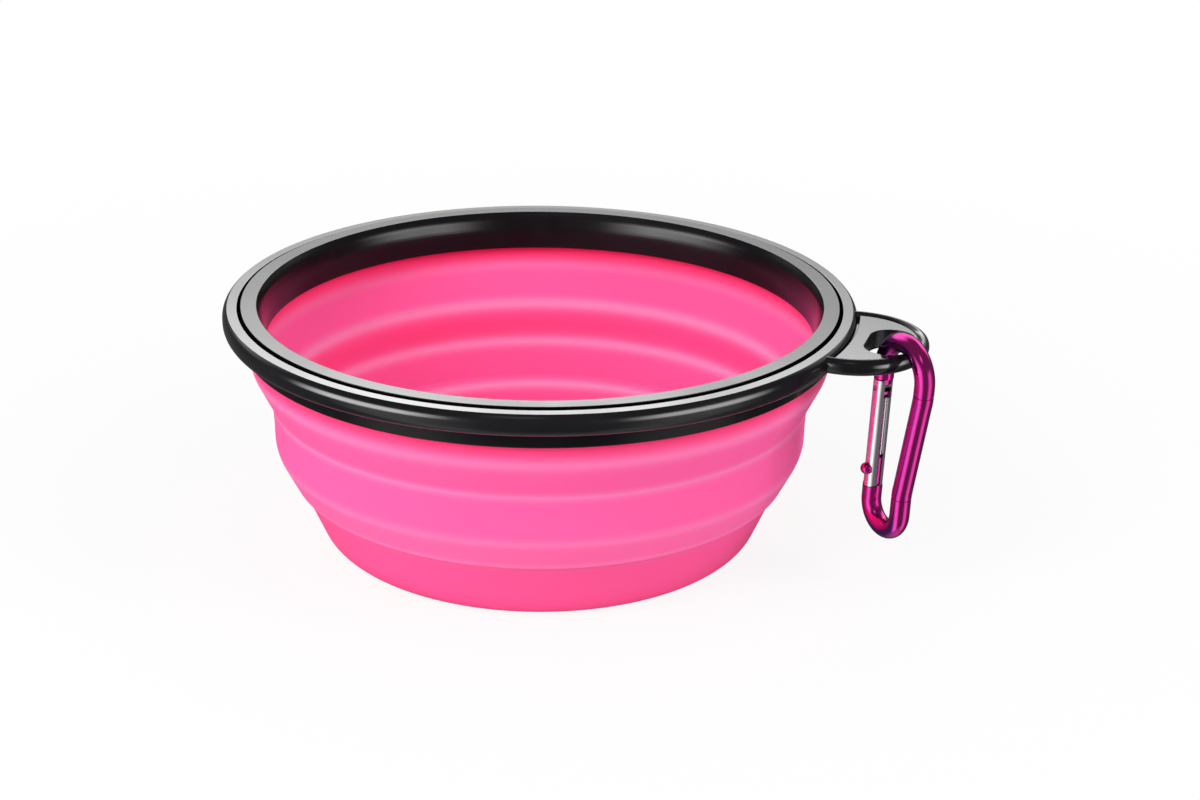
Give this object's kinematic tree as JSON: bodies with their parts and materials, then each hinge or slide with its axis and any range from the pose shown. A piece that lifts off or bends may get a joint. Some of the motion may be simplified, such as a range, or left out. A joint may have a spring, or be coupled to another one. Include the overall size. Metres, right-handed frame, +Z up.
{
  "type": "collapsible silicone bowl",
  "caption": "Round silicone travel bowl that folds flat in steps inside a black rim, with a slotted rim lug and a small spring gate clip hanging from it.",
  "frame": {"origin": "centre of the bowl's underside, on the surface that it stands on", "axes": "+Z up along the bowl's axis, +X towards the rim lug"},
  "size_m": [0.149, 0.13, 0.0549],
  "materials": {
    "rim_black": "satin to gloss black moulding",
    "silicone_pink": "matte soft pink silicone",
    "clip_anodised": "magenta anodised, bright satin",
    "gate_metal": "polished bare metal",
    "pin_steel": "plain steel"
  },
  "bodies": {
    "rim": {"rim_frame": "rim_black", "rim_clamp_ring": "rim_black", "rim_retaining_ring": "rim_black", "silicone_upper_wall": "silicone_pink", "silicone_upper_fold": "silicone_pink"},
    "middle_ring": {"silicone_middle_ring": "silicone_pink", "silicone_lower_fold": "silicone_pink"},
    "base": {"silicone_base_cup": "silicone_pink"},
    "clip": {"carabiner_frame": "clip_anodised", "gate_pivot_rivet": "clip_anodised"},
    "gate": {"carabiner_gate": "gate_metal", "gate_latch_pin": "pin_steel", "gate_spring": "pin_steel", "spring_plunger": "pin_steel"}
  },
  "joints": [
    {"name": "middle_rise", "type": "slide", "parent": "rim", "child": "middle_ring", "axis": [0, 0, 1], "range_m": [0, 0.0174], "deforming": ["silicone_upper_fold"]},
    {"name": "base_rise", "type": "slide", "parent": "middle_ring", "child": "base", "axis": [0, 0, 1], "range_m": [0, 0.0156], "deforming": ["silicone_lower_fold"]},
    {"name": "clip_swing", "type": "hinge", "parent": "rim", "child": "clip", "pos_m": [0.07639, -0.00755, 0.0488], "axis": [-0.6947, -0.7193, 0], "range_deg": [-20, 60]},
    {"name": "gate_open", "type": "hinge", "parent": "clip", "child": "gate", "pos_m": [0.07179, -0.00311, 0.02417], "axis": [0.6947, 0.7193, 0], "range_deg": [0, 24], "stiffness_Nm_per_rad": 0.06, "springref_deg": -20.05}
  ]
}
